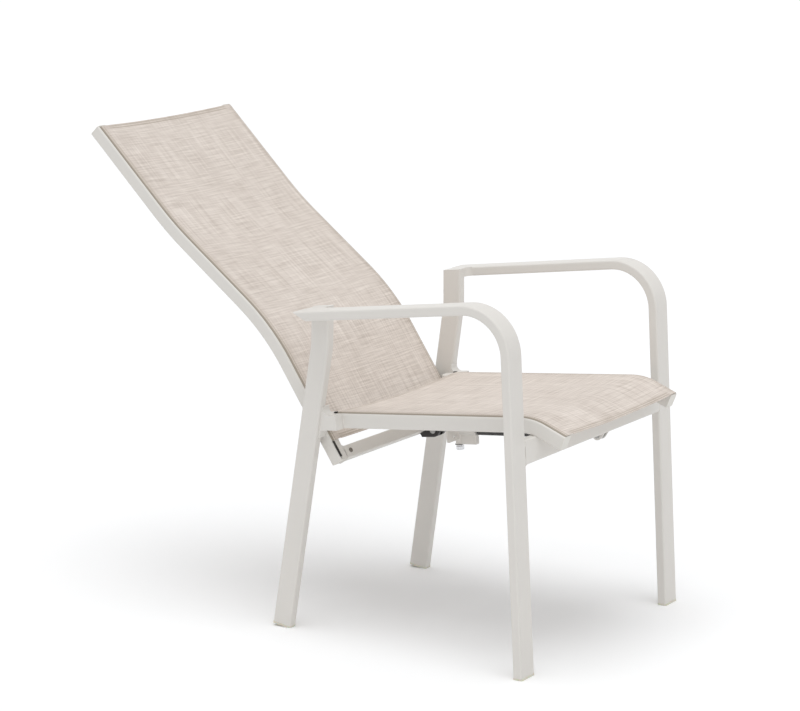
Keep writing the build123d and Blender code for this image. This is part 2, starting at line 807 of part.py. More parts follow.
def rear_clevis():
    """Moulded clevis that wraps the lower cross tube and holds the rod's eye."""
    up = rising(back_low_lean)
    corner = back_tie_centre + tie_out * (back_tie / 2) - up * (back_tie / 2)
    low = corner - tie_out * clevis_wrap
    lip = flat(corner + up * clevis_lip, corner, low, low - up * clevis_wrap_thickness,
               corner + tie_out * clevis_wrap_thickness,
               corner + up * clevis_lip + tie_out * (clevis_wrap_thickness / 2))
    outline = round_hull(disc(rear_pin, clevis_round), lip)
    tube = Pos(back_tie_centre.Y, back_tie_centre.Z) * Rot(0, 0, -back_low_lean) * rounded(
        back_tie, back_tie, tie_corner)
    outline -= tube
    block = side_plate(outline, spring_x - clevis_width / 2, spring_x + clevis_width / 2)
    room = rear_eye_outer / 2 + rear_eye_play + clevis_slack
    straight = rear_pin - spring_line * (2 * past)
    square = rear_pin + tie_out * (2 * past)
    swing = round_hull(disc(rear_pin, room), disc(straight, room), disc(square, room))
    half_slot = rear_eye_width / 2 + bracket_gap
    block -= side_plate(swing, spring_x - half_slot, spring_x + half_slot)
    hole = spring_pin + 2 * pin_running
    return block - along_x(spring_x - past, spring_x + past, hole, at=rear_pin)


# Frame that stands on the floor
keep_pair("arm_and_front_leg", front_leg_and_arm(
    tube_section(arm_width, arm_thickness, arm_corner, arm_wall)))
keep_pair("rear_leg", rear_leg())
keep("arm_knuckles", both_sides(arm_knuckle()))
keep("arm_end_plugs", both_sides(arm_end_plug()))
keep("front_foot_glides", both_sides(foot_glide(
    arm_x, 0, arm_width, arm_thickness, arm_corner, arm_wall, front_foot_centre,
    front_leg_lean)))
keep("rear_foot_glides", both_sides(foot_glide(
    rear_foot_x, rear_leg_tuck, rear_leg_width, rear_leg_depth, rear_leg_corner, rear_leg_wall,
    rear_foot_centre, -rear_leg_lean)))
keep("front_cross_bar", cross_bar())
keep_pair("seat_rail", seat_rail())
keep_pair("rear_lug", rear_lug())
tie_level = rail_corner_point + rising(rail_line) * (
    (seat_tie_y - rail_bend_y) / rising(rail_line).Y)
tie_centre = tie_level + behind(rail_line) * ((seat_rail_depth - seat_tie) / 2)
keep("seat_rear_tie", crosswise_tube(
    tie_centre, rail_inner_x, seat_tie, seat_tie, tie_corner, tie_wall, rail_line - 90))
keep("seat_rail_front_caps", both_sides(tube_cap(
    rail_x, nose + rising(nose_line) * rail_cap, rising(nose_line) * -1, seat_rail_depth,
    plug_depth(seat_rail_depth))))
keep("seat_rail_rear_caps", both_sides(tube_cap(
    rail_x, rail_end - rising(rail_line) * rail_cap, rising(rail_line), seat_rail_depth,
    plug_depth(seat_rail_depth))))
seat_fabric_path = side_path(0, rail_points(seat_sling_front, seat_sling_rear), [rail_bend])
keep("seat_sling", sling(seat_fabric_path, seat_rail_depth, seat_sag))
seat_cord_path = side_path(rail_x, rail_points(rail_cap, seat_sling_rear), [rail_bend])
keep_pair("seat_edge_cord", swept(keder_section(seat_rail_depth), seat_cord_path))
keep("hinge_bolts", both_sides(hinge_bolt_piece()))
keep("hinge_spacers", both_sides(hinge_spacer_piece()))
keep("hinge_inserts", both_sides(hinge_insert_piece()))
keep("spring_front_bracket", spring_bracket())
keep("spring_front_pin", headed_pin(front_pin, front_eye_width / 2 + bracket_gap + bracket_sheet))

# Back that reclines
keep_pair("back_tube", back_tube())
keep("back_lower_tie", lower_tie())
keep("back_upper_spreader", upper_spreader())
keep("back_tube_top_caps", both_sides(tube_cap(
    rail_x, back_top - rising(back_top_lean) * rail_cap, rising(back_top_lean),
    back_tube_depth, plug_depth(back_tube_depth))))
keep("back_tube_bottom_caps", both_sides(tube_cap(
    rail_x, back_bottom + rising(back_low_lean) * rail_cap, rising(back_low_lean) * -1,
    back_tube_depth, plug_depth(back_tube_depth))))
back_fabric_path = side_path(0, back_points(back_hem_up, back_hem_top),
                             [lumbar_bend, shoulder_bend])
keep("back_sling", sling(back_fabric_path, back_tube_depth, back_sag))
back_cord_path = side_path(rail_x, back_points(back_hem_up, back_hem_top),
                           [lumbar_bend, shoulder_bend])
keep_pair("back_edge_cord", swept(keder_section(back_tube_depth), back_cord_path))
keep("hinge_bushes", both_sides(hinge_bush_piece()))
keep("back_tie_screws", both_sides(tie_screw(tie_screw_x)))
keep("spring_rear_clevis", rear_clevis())
keep("spring_rear_pin", headed_pin(rear_pin, clevis_width / 2))

# Gas spring and its release
keep("spring_cylinder", spring_cylinder())
keep("spring_gland", spring_gland())
keep("spring_front_eye", front_eye())
keep("spring_rod", spring_rod())
keep("spring_piston", spring_piston())
keep("spring_rod_eye", rod_eye())
keep("release_head", release_head())
keep("release_head_flange", head_flange())
keep("button_collar", button_collar())
keep("release_button", release_button())

boxes = [shape.bounding_box() for shape in nodes.values()]
middle_y = (min(box.min.Y for box in boxes) + max(box.max.Y for box in boxes)) / 2
os.makedirs("parts", exist_ok=True)
for name, shape in nodes.items():
    export_step(Pos(0, -middle_y, 0) * shape, f"parts/{name}.step")

front_sole = front_foot_centre + rising(front_leg_lean) * sole_start(arm_thickness, front_leg_lean)
rear_sole = rear_foot_centre - behind(-rear_leg_lean) * (rear_leg_depth / 2)
print("moved along Y by", round(-middle_y, 3))
print("hinge", round(hinge.Y - middle_y, 3), round(hinge.Z, 3))
print("front pin", round(front_pin.Y - middle_y, 3), round(front_pin.Z, 3))
print("rear pin", round(rear_pin.Y - middle_y, 3), round(rear_pin.Z, 3))
print("spring line", round(spring_line.Y, 5), round(spring_line.Z, 5), round(spring_length, 3))
print("front sole", round(front_sole.Y - middle_y, 3))
print("rear sole", round(rear_sole.Y - middle_y + foot_flat, 3))
print("sole x", arm_x, rear_foot_x)
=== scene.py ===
"""Reclining garden armchair: slings, cords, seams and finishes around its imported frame.

Metres throughout, +Z up. The sitter faces -Y and the sitter's left is +X. The frame's tubes,
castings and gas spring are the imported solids. The cloth with its cords and stitching, the slot
stops, the armrests' slanted ends and the weld seams are modelled here.
"""
import json
from math import asin, cos, degrees, exp, hypot, pi, radians, sin, tan

import bmesh
import bpy
from bpy.props import FloatProperty, FloatVectorProperty, IntProperty, PointerProperty
from mathutils import Matrix, Vector


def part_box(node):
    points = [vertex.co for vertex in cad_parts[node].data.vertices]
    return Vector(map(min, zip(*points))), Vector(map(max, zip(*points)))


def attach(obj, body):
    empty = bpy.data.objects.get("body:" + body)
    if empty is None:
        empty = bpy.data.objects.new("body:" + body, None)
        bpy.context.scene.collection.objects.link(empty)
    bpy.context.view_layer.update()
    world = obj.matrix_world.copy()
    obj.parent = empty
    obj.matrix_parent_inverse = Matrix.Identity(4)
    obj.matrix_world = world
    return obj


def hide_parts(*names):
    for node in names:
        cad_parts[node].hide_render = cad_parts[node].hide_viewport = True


bl_info = {
    "name": "Reclining Garden Armchair",
    "version": (1, 0, 0),
    "blender": (4, 5, 0),
    "location": "3D View > Sidebar > Armchair",
    "description": "Slings, cords, seams and finishes of a reclining garden armchair",
    "category": "Add Mesh",
}

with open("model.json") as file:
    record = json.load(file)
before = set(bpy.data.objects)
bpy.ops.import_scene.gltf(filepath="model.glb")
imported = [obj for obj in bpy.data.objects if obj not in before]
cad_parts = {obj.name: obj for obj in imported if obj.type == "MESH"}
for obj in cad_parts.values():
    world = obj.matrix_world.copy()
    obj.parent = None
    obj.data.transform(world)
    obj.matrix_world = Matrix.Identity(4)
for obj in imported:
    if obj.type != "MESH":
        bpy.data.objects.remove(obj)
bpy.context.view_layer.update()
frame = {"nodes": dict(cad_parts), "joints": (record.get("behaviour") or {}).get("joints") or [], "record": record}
hinge = Vector(next(j["pos_m"] for j in frame["joints"] if j["name"] == "back_recline"))


def paint(red, green, blue):
    """Linear colour of a tone in the usual 0 to 255 steps of the sRGB curve."""
    def linear(step):
        share = step / 255
        return share / 12.92 if share <= 0.04045 else ((share + 0.055) / 1.055) ** 2.4
    return linear(red), linear(green), linear(blue)


def length(name, description, default):
    return FloatProperty(name=name, description=description, default=default, min=0.0,
                         precision=5, unit="LENGTH", subtype="DISTANCE")


def in_degrees(name, description, default):
    return FloatProperty(name=name, description=description, default=radians(default),
                         subtype="ANGLE")


def number(name, description, default):
    return FloatProperty(name=name, description=description, default=default, min=0.0)


def tone(name, description, colour):
    return FloatVectorProperty(name=name, description=description, default=colour, size=3,
                               min=0.0, max=1.0, subtype="COLOR")


class ArmchairFrameSizes(bpy.types.PropertyGroup):
    """Lines and sections of the tubes that carry the cloth"""
    seat_corner_y: length("Seat Bend To Hinge", "From the hinge forward to the rail's bend",
                          0.455478)
    seat_corner_z: length("Seat Bend Over Hinge", "Height of the rail's bend above the hinge",
                          0.0542)
    seat_nose: length("Seat Nose", "Rail length in front of its bend", 0.0686)
    seat_run: length("Seat Run", "Rail length behind its bend", 0.43434)
    seat_bend: length("Seat Bend", "Radius of the rail's bend", 0.095)
    seat_nose_lean: in_degrees("Seat Nose Lean", "Rail's lean in front of its bend", 68.0)
    seat_run_lean: in_degrees("Seat Run Lean", "Rail's lean behind its bend", 95.7)
    seat_depth: length("Seat Rail Depth", "Height of the seat rail's section", 0.028)
    back_below: length("Back Below Hinge", "Back tube length below the hinge", 0.0803)
    back_low: length("Back Low Run", "Back tube from the hinge to the lumbar bend", 0.2014)
    back_middle: length("Back Middle Run", "Back tube between its two bends", 0.2799)
    back_high: length("Back High Run", "Back tube above its upper bend", 0.2472)
    lumbar_bend: length("Lumbar Bend", "Radius of the lower bend", 0.44)
    shoulder_bend: length("Shoulder Bend", "Radius of the upper bend", 0.7)
    back_low_lean: in_degrees("Back Low Lean", "Lean of the low run, from upright", 33.4)
    back_middle_lean: in_degrees("Back Middle Lean", "Lean of the middle run", 52.3)
    back_high_lean: in_degrees("Back High Lean", "Lean of the run above it", 45.0)
    back_depth: length("Back Tube Depth", "Depth of the back tube's section", 0.0253)
    rail_inner: length("Rail Inner Side", "From the middle to the tubes' inner sides", 0.191)
    groove: length("Groove", "From the middle to the middle of the cord groove", 0.2119)
    groove_below: length("Groove Depth", "From the tube's face to the cord", 0.0044)


class ArmchairClothSizes(bpy.types.PropertyGroup):
    """Cloth, cords and stitching"""
    thickness: length("Cloth Thickness", "Thickness of one layer of cloth", 0.00065)
    top_level: length("Top Layer", "Middle of the top layer above the tube's face", 0.0018)
    layer_step: length("Layer Step", "From one layer's middle to the next", 0.00075)
    outer_turn: length("Outer Turn", "Radius of the top layer where it enters the slot", 0.0019)
    inner_turn: length("Inner Turn", "Radius of the lower layer there", 0.00115)
    slot_half: length("Slot Half Step", "From the slot's middle to each layer", 0.00045)
    loop: length("Loop", "Radius of the cloth round its cord", 0.00255)
    cord: length("Cord", "Diameter of the edge cord", 0.0043)
    cord_inset: length("Cord Inset", "From the cloth's end to the cord's end", 0.0006)
    side_hem: length("Side Hem", "From the middle to the free edge of the side hems", 0.1995)
    side_seam: length("Side Seam", "From the middle to the side seams", 0.2053)
    hem: length("Hem", "Width of the hems folded under at both ends", 0.0135)
    hem_half: length("Hem Half Width", "Half the width of those hems", 0.1852)
    first_seam: length("First Seam", "From a hem's fold to its first seam", 0.003)
    second_seam: length("Second Seam", "From a hem's fold to its second seam", 0.0078)
    seam_dip: length("Seam Dip", "How deep a seam draws the cloth in", 0.0003)
    seam_reach: length("Seam Reach", "How far to each side a seam draws it in", 0.0018)
    sag: length("Sag", "Sag of the cloth halfway between the tubes", 0.006)
    seat_front: length("Seat Cloth Front", "From the rail's front end to the cloth", 0.001)
    seat_rear: length("Seat Cloth Rear", "From the rail's rear end to the cloth", 0.0225)
    back_low: length("Back Cloth Low", "From the back tube's low end to the cloth", 0.040)
    back_top: length("Back Cloth Top", "From the back tube's top end to the cloth", 0.004)
    column: length("Column", "Spacing of the cloth's points across", 0.0085)
    row: length("Row", "Spacing of the cloth's points along", 0.0075)
    ripple: length("Ripple", "Height of the faint ripples of the cloth", 0.0006)
    pitch: length("Yarn Pitch", "From one yarn to the next", 0.00125)
    stitch: length("Stitch", "Length of one stitch", 0.0034)
    stitch_pitch: length("Stitch Pitch", "From one stitch to the next", 0.0042)
    stitch_inset: length("Stitch Inset", "From the cloth's end to the first stitch", 0.002)
    thread: length("Thread", "Thickness of the sewing thread", 0.00055)


class ArmchairStopSizes(bpy.types.PropertyGroup):
    """Small stops in the open ends of the slots, black as painted shade for the dark inside the open slot"""
    width: length("Stem Width", "Width of a stop's stem", 0.0023)
    height: length("Stem Height", "How deep a stop's stem reaches", 0.0022)
    head: length("Head Height", "Height of a stop's head", 0.0014)
    head_width: length("Head Width", "Width of a stop's head", 0.0056)
    edge: length("Stop Edge", "Bevel of a stop's edges", 0.0003)
    gap: length("Stop Gap", "From the cloth's end to a stop", 0.0008)
    seat_length: length("Seat Stop", "Length of the seat's stops", 0.006)
    seat_head: length("Seat Stop Head", "Height of the seat stops' heads", 0.0027)
    back_inset: length("Back Stop Inset", "From the back tube's low end to its stops", 0.007)


class ArmchairArmSizes(bpy.types.PropertyGroup):
    """Slanted rear ends of the armrests"""
    shorter: length("Tip Inset", "From the tube's plain end to the slanted tip", 0.0133)
    slant: length("Slant", "How far the cut runs back from tip to lower edge", 0.0362)
    plate: length("End Plate", "Thickness of the plate that closes the cut", 0.0015)
    wall: length("Arm Wall", "Wall of the armrest tube", 0.0021)
    trim: length("Plate Trim", "What the tube's slope takes off the plate's low end", 0.0065)
    width: length("Arm Width", "Width of the armrest tube", 0.046)
    room: length("Cutter", "How far the cut reaches below and behind the tube", 0.05)


class ArmchairWeldSizes(bpy.types.PropertyGroup):
    """Weld seams where tubes meet"""
    bead: length("Bead", "Radius of a weld seam", 0.0017)
    swell: number("Swell", "Share by which a seam's height wavers", 0.1)
    around: IntProperty(name="Around", description="Steps round a weld seam's corner",
                        default=10, min=4)


class ArmchairColours(bpy.types.PropertyGroup):
    """Colours of the chair's surfaces"""
    coat: tone("Powder Coat", "Coated tubes and castings", paint(231, 228, 223))
    cloth_light: tone("Light Yarn", "Lightest yarns of the cloth", paint(245, 236, 228))
    cloth_dark: tone("Dark Yarn", "Darkest yarns of the cloth", paint(185, 172, 161))
    # Painted shade: the colour that the cloth is darkened to along the seams' creases
    painted_seam_shade: tone("Seam Shade", "Cloth drawn in at a seam", paint(170, 157, 141))
    # Painted shade: the colour of the cloth where it turns down into the dark slot
    painted_fold_shade: tone("Fold Shade", "Cloth that turns down into the slot", paint(172, 162, 149))
    thread: tone("Thread", "Sewing thread", paint(226, 218, 206))
    cord: tone("Cord", "Extruded edge cord", paint(150, 144, 134))
    cap: tone("Caps", "Plastic caps of the tubes", paint(232, 229, 222))
    foot: tone("Feet", "Translucent plastic feet", paint(226, 222, 206))
    steel: tone("Steel", "Zinc plated steel", paint(168, 167, 164))
    chrome: tone("Chrome", "Polished chrome", paint(222, 222, 224))
    black: tone("Black", "Black painted or moulded parts", paint(38, 35, 33))
    bush: tone("Bush", "Dark plastic bushes", paint(52, 51, 50))
    screw: tone("Screws", "Screws of the lower tie", paint(148, 144, 138))
    floor: tone("Floor", "Studio floor", paint(243, 243, 243))


class ArmchairStage(bpy.types.PropertyGroup):
    """Studio light and the camera"""
    sky: number("Sky", "Even light from all round", 0.53)
    sun: number("Sun", "Strength of the soft main lamp", 1.10)
    sun_spread: in_degrees("Sun Spread", "Angle that the soft lamp fills", 46)
    sun_turn: in_degrees("Sun Turn", "Bearing of the lamp from the front", -95)
    sun_lean: in_degrees("Sun Lean", "Angle of the lamp from overhead", 6)
    fill: number("Fill", "Strength of the broad front lamp", 0.55)
    fill_spread: in_degrees("Fill Spread", "Angle that the front lamp fills", 100)
    fill_turn: in_degrees("Fill Turn", "Bearing of that lamp from the front", -40)
    fill_lean: in_degrees("Fill Lean", "Angle of that lamp from overhead", 65)
    white_gain: FloatVectorProperty(name="White Gain", default=(1.03, 1.039, 1.05), min=0.0,
                                    description="Open floor's tone as the camera sees it")
    floor_size: length("Floor Size", "Side of the studio floor", 90.0)
    camera_place: FloatVectorProperty(name="Camera Place", description="Where the camera stands",
                                      default=(-4.6194, -2.95609, 1.6094), size=3,
                                      subtype="XYZ", unit="LENGTH")
    camera_turn: in_degrees("Camera Turn", "Bearing of the camera's view", 57.75)
    camera_dip: in_degrees("Camera Dip", "How far the view points down", 11.61)
    camera_lens: number("Lens", "Focal length in millimetres", 132.36)


# Lines of the tubes, seen from the side


class SideLine:
    """Straight runs joined by tangent arcs; a lean is the angle rearward from upright."""
    straight = 1e-6

    def __init__(self, start, leans, lengths, bends):
        cuts = [bend * tan(abs(after - before) / 2)
                for before, after, bend in zip(leans, leans[1:], bends)]
        self.spans = []
        self.length = 0.0
        y, z = start
        for index, lean in enumerate(leans):
            run = lengths[index] - sum(cuts[max(index - 1, 0):index + 1])
            y, z = self.add(y, z, run, lean, lean)
            if index < len(bends):
                after = leans[index + 1]
                y, z = self.add(y, z, bends[index] * abs(after - lean), lean, after)

    def add(self, y, z, span, lean, after):
        self.spans.append((self.length, span, y, z, lean, after))
        self.length += span
        point, _ = self.at(self.length)
        return point.y, point.z

    def at(self, distance):
        """Point on the line and its lean there; past an end it goes straight on."""
        begun = [span for span in self.spans if span[0] <= distance] or self.spans[:1]
        if distance >= self.length:
            begun = self.spans
        start, span, y, z, lean, after = begun[-1]
        travelled = distance - start
        turn = (after - lean) / span
        if abs(turn) < self.straight:
            return Vector((0, y + sin(lean) * travelled, z + cos(lean) * travelled)), lean
        now = lean + turn * travelled
        return Vector((0, y + (cos(lean) - cos(now)) / turn,
                       z + (sin(now) - sin(lean)) / turn)), now

    def place(self, distance, x, height):
        """Point beside and above the line, on the sitter's side of it."""
        point, lean = self.at(distance)
        return point + Vector((x, -cos(lean) * height, sin(lean) * height))


def seat_line(sizes):
    leans = (sizes.seat_nose_lean, sizes.seat_run_lean)
    start = (hinge.y - sizes.seat_corner_y - sin(leans[0]) * sizes.seat_nose,
             hinge.z + sizes.seat_corner_z - cos(leans[0]) * sizes.seat_nose)
    return SideLine(start, leans, (sizes.seat_nose, sizes.seat_run), (sizes.seat_bend,))


def back_line(sizes):
    leans = (sizes.back_low_lean, sizes.back_middle_lean, sizes.back_high_lean)
    start = (hinge.y - sin(leans[0]) * sizes.back_below,
             hinge.z - cos(leans[0]) * sizes.back_below)
    runs = (sizes.back_below + sizes.back_low, sizes.back_middle, sizes.back_high)
    return SideLine(start, leans, runs, (sizes.lumbar_bend, sizes.shoulder_bend))


# Finishes: noise scales are repeats a metre, and bump distances are metres


class Value:
    """A number socket; each operator adds its Math node."""

    def __init__(self, finish, socket):
        self.finish = finish
        self.socket = socket

    def __add__(self, other):
        return self.finish.math("ADD", self, other)

    def __radd__(self, other):
        return self.finish.math("ADD", other, self)

    def __sub__(self, other):
        return self.finish.math("SUBTRACT", self, other)

    def __rsub__(self, other):
        return self.finish.math("SUBTRACT", other, self)

    def __mul__(self, other):
        return self.finish.math("MULTIPLY", self, other)

    def __rmul__(self, other):
        return self.finish.math("MULTIPLY", other, self)

    def __truediv__(self, other):
        return self.finish.math("DIVIDE", self, other)

    def __mod__(self, other):
        return self.finish.math("MODULO", self, other)

    def whole(self):
        return self.finish.math("FLOOR", self)

    def part(self):
        return self.finish.math("FRACT", self)

    def sine(self):
        return self.finish.math("SINE", self)

    def above(self, other):
        return self.finish.math("GREATER_THAN", self, other)


class Finish:
    """One material, or the world, put together from nodes."""

    def __init__(self, name, kind="materials"):
        self.owner = getattr(bpy.data, kind).new(name)
        self.owner.use_nodes = True
        self.tree = self.owner.node_tree
        self.tree.nodes.clear()

    def join(self, socket, value):
        if isinstance(value, Value):
            value = value.socket
        if isinstance(value, bpy.types.NodeSocket):
            self.tree.links.new(value, socket)
        elif isinstance(value, tuple) and len(value) == 3 and len(socket.default_value) == 4:
            socket.default_value = (*value, 1.0)
        else:
            socket.default_value = value

    def node(self, kind, settings=None, **sockets):
        """A node of this kind: its settings first, then its sockets by name or number."""
        made = self.tree.nodes.new("ShaderNode" + kind)
        for name, setting in (settings or {}).items():
            setattr(made, name, setting)
        for name, value in sockets.items():
            key = int(name[1:]) if name[0] == "_" else name.replace("_", " ")
            self.join(made.inputs[key], value)
        return made

    def math(self, operation, *values):
        made = self.node("Math", {"operation": operation},
                         **{f"_{index}": value for index, value in enumerate(values)})
        return Value(self, made.outputs[0])

    def place(self, scale=(1.0, 1.0, 1.0)):
        """Object coordinates, scaled."""
        coordinates = self.node("TexCoord").outputs["Object"]
        return self.node("Mapping", Vector=coordinates, Scale=scale).outputs[0]

    def noise(self, vector, scale, detail=2.0, dimensions="3D"):
        made = self.node("TexNoise", {"noise_dimensions": dimensions}, Vector=vector, Scale=scale,
                         Detail=detail)
        return Value(self, made.outputs[0])

    def pair(self, first, second):
        return self.node("CombineXYZ", X=first, Y=second).outputs[0]

    def mix(self, factor, first, second):
        made = self.node("Mix", {"data_type": "RGBA", "clamp_factor": True}, _0=factor, _6=first,
                         _7=second)
        return made.outputs[2]

    def bump(self, height, distance, strength=1.0):
        return self.node("Bump", Height=height, Distance=distance, Strength=strength).outputs[0]

    def surface(self, **sockets):
        shader = self.node("BsdfPrincipled", **sockets)
        self.node("OutputMaterial", Surface=shader.outputs[0])
        return self.owner

    def seen_directly(self):
        """1 for the rays that show a surface as it is, 0 for the light that it throws."""
        path = self.node("LightPath")
        rays = [Value(self, path.outputs[name]) for name in (
            "Is Camera Ray", "Is Glossy Ray", "Is Transmission Ray")]
        return self.math("MINIMUM", rays[0] + rays[1] + rays[2], 1.0)


def darker(colour, share):
    return tuple(channel * share for channel in colour)


def coat_finish(name, colour, roughness=0.42):
    """Fine powder coat: a slight orange peel and a breath of tone between areas."""
    finish = Finish(name)
    spot = finish.place()
    drift = finish.noise(spot, 9.0)
    peel = finish.noise(spot, 750.0, 1.0)
    speck = finish.noise(spot, 2600.0, 0.0)
    base = finish.mix(drift * 1.6 - 0.3, darker(colour, 0.965), colour)
    base = finish.mix(speck * 0.5 - 0.2, base, darker(colour, 1.04))
    return finish.surface(
        Base_Color=base, Roughness=drift * 0.12 + (roughness - 0.06),
        Normal=finish.bump(peel, 0.00006), Specular_IOR_Level=0.4)


def moulded_finish(name, colour, roughness, grain=420.0, subsurface=0.0):
    """Moulded plastic with a fine spark grain."""
    finish = Finish(name)
    spot = finish.place()
    grains = finish.noise(spot, grain, 3.0)
    clouds = finish.noise(spot, 40.0)
    base = finish.mix(clouds * 1.4 - 0.2, darker(colour, 0.93), colour)
    return finish.surface(
        Base_Color=base, Roughness=grains * 0.16 + (roughness - 0.08),
        Normal=finish.bump(grains, 0.00008), Subsurface_Weight=subsurface,
        Subsurface_Scale=0.004)


def metal_finish(name, colour, roughness, lines):
    """Bare metal with fine marks from its drawing or turning."""
    finish = Finish(name)
    along = finish.noise(finish.place(lines), 1.0, 3.0)
    smudge = finish.noise(finish.place(), 70.0)
    base = finish.mix(smudge * 1.5 - 0.25, darker(colour, 0.88), colour)
    return finish.surface(
        Base_Color=base, Metallic=1.0, Roughness=along * 0.14 + smudge * 0.1 + (roughness - 0.1),
        Normal=finish.bump(along, 0.00001))


def painted_finish(name, colour, roughness):
    """Smooth stoved paint on a round steel tube."""
    finish = Finish(name)
    spot = finish.place()
    film = finish.noise(spot, 160.0)
    dust = finish.noise(spot, 1400.0, 1.0)
    base = finish.mix(dust * 1.2 - 0.45, colour, tuple(channel * 1.5 + 0.01 for channel in colour))
    return finish.surface(Base_Color=base, Roughness=film * 0.16 + (roughness - 0.05),
                          Normal=finish.bump(film, 0.00003), Coat_Weight=0.25)


# Lengths of the weave's marks across and along the cloth, and their shares in its shade
SLUB_LENGTHS = 0.035, 0.045
YARN_STEP = 0.37
WARP_STREAK = 0.0028, 0.15
WEFT_STREAK = 0.075, 0.0026
PATCH = 0.03, 0.034
BROAD_PATCH = 0.14, 0.17
MIDDLE_SHADE = 0.6
MARK_SHARES = {"yarn": 0.42, "warp": 0.62, "weft": 0.68, "patch": 0.2, "broad": 0.15}
DOUBLE_LAYER_SHADE = 0.1
# Share of the painted seam shade mixed into the cloth at a seam
PAINTED_SEAM_SHADE_SHARE = 0.85


def cloth_finish(name, colours, pitch, across, along):
    """Plain weave of slubby yarns in several beiges, on the cloth's own UV map, with painted shade at the seams
    and where the cloth turns into the slot.
    """
    finish = Finish(name)
    parts = finish.node("SeparateXYZ", Vector=finish.node("TexCoord").outputs["UV"])
    x = Value(finish, parts.outputs[0]) * across
    y = Value(finish, parts.outputs[1]) * along

    def marks(first, second, detail):
        return finish.noise(finish.pair(first, second), 1.0, detail, "2D")

    def stored(name):
        return Value(finish, finish.node("Attribute", {"attribute_name": name}).outputs[2])

    warp, weft = x / pitch, y / pitch
    warp_index, weft_index = warp.whole(), weft.whole()
    over = ((warp_index + weft_index) % 2.0).above(0.5)
    warp_slub = marks(warp_index * YARN_STEP, y / SLUB_LENGTHS[1], 2.0)
    weft_slub = marks(x / SLUB_LENGTHS[0], weft_index * YARN_STEP, 2.0)
    yarn = warp_slub * (1 - over) + weft_slub * over
    shade = MIDDLE_SHADE + (yarn - 0.5) * MARK_SHARES["yarn"]
    for kind, size, detail in (("warp", WARP_STREAK, 1.0), ("weft", WEFT_STREAK, 1.0),
                               ("patch", PATCH, 2.0), ("broad", BROAD_PATCH, 1.0)):
        shade = shade + (marks(x / size[0], y / size[1], detail) - 0.5) * MARK_SHARES[kind]
    # The stored crease value carries painted shade: up to 1 at the seams, 2 on the cloth inside the slot
    crease_and_shade = stored("crease_and_shade")
    shade = shade - stored("layers") * DOUBLE_LAYER_SHADE
    base = finish.mix(shade, colours.cloth_dark[:], colours.cloth_light[:])
    # Painted shade along the seams
    base = finish.mix(crease_and_shade * PAINTED_SEAM_SHADE_SHARE, base, colours.painted_seam_shade[:])
    # Painted shade on the cloth inside the slot, where the crease value passes 1
    base = finish.mix(crease_and_shade - 1, base, colours.painted_fold_shade[:])
    warp_swell, weft_swell = (warp.part() * pi).sine(), (weft.part() * pi).sine()
    swell = (warp_swell * (1 - over) + weft_swell * over) * 0.75 + warp_swell * weft_swell * 0.25
    return finish.surface(Base_Color=base, Roughness=(1 - swell) * 0.2 + 0.62,
                          Normal=finish.bump(swell + yarn * 0.5, 0.00016, 0.6),
                          Specular_IOR_Level=0.3)


def strand_finish(name, colour, ply):
    """Twisted thread or drawn cord."""
    finish = Finish(name)
    spot = finish.place()
    twist = finish.noise(spot, ply, 1.0)
    base = finish.mix(twist * 1.8 - 0.4, darker(colour, 0.82), colour)
    return finish.surface(Base_Color=base, Roughness=twist * 0.2 + 0.5,
                          Normal=finish.bump(twist, 0.00008))


# Modelling by hand


def select_only(*pieces):
    if bpy.context.object and bpy.context.object.mode != "OBJECT":
        bpy.ops.object.mode_set(mode="OBJECT")
    bpy.ops.object.select_all(action="DESELECT")
    for piece in pieces:
        piece.select_set(True)
    bpy.context.view_layer.objects.active = pieces[0] if pieces else None


def new_piece(name):
    """The primitive that was just added, named and ready for edit mode."""
    piece = bpy.context.object
    piece.name = name
    piece.data.name = name
    return piece


def open_for_editing(piece):
    """Edit mode, with the whole piece selected."""
    select_only(piece)
    bpy.ops.object.mode_set(mode="EDIT")
    bpy.ops.mesh.select_all(action="SELECT")


def pick_points(piece, wanted):
    """Selects the points that answer a test, and nothing else."""
    form = bmesh.from_edit_mesh(piece.data)
    bpy.context.tool_settings.mesh_select_mode = (True, False, False)
    for element in (*form.verts, *form.edges, *form.faces):
        element.select = False
    for vert in form.verts:
        vert.select = wanted(vert.co)
    form.select_flush(True)
    bmesh.update_edit_mesh(piece.data)


def close_piece(piece, smooth_angle=40.0):
    """Merges doubles, turns the faces outwards, applies the place and smooths the round."""
    open_for_editing(piece)
    bpy.ops.mesh.remove_doubles(threshold=1e-6)
    bpy.ops.mesh.normals_make_consistent(inside=False)
    bpy.ops.object.mode_set(mode="OBJECT")
    bpy.ops.object.transform_apply(location=True, rotation=True, scale=True)
    bpy.ops.object.shade_smooth_by_angle(angle=radians(smooth_angle))
    return piece


def linked(name, mesh):
    """An object for a mesh made in code, alone selected."""
    piece = bpy.data.objects.new(name, mesh)
    bpy.context.scene.collection.objects.link(piece)
    select_only(piece)
    return piece


def block(name, size):
    """Cube drawn out to its size at the origin."""
    select_only()
    bpy.ops.mesh.primitive_cube_add(size=1)
    piece = new_piece(name)
    piece.scale = size
    bpy.ops.object.transform_apply(location=False, rotation=False, scale=True)
    return piece


def bevelled(piece, offset):
    """All its edges rounded a little; it stays in edit mode."""
    open_for_editing(piece)
    bpy.ops.mesh.bevel(offset=offset, segments=2, affect="EDGES")


def dress(piece, material, body):
    piece.data.materials.clear()
    piece.data.materials.append(material)
    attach(piece, body)
    return piece


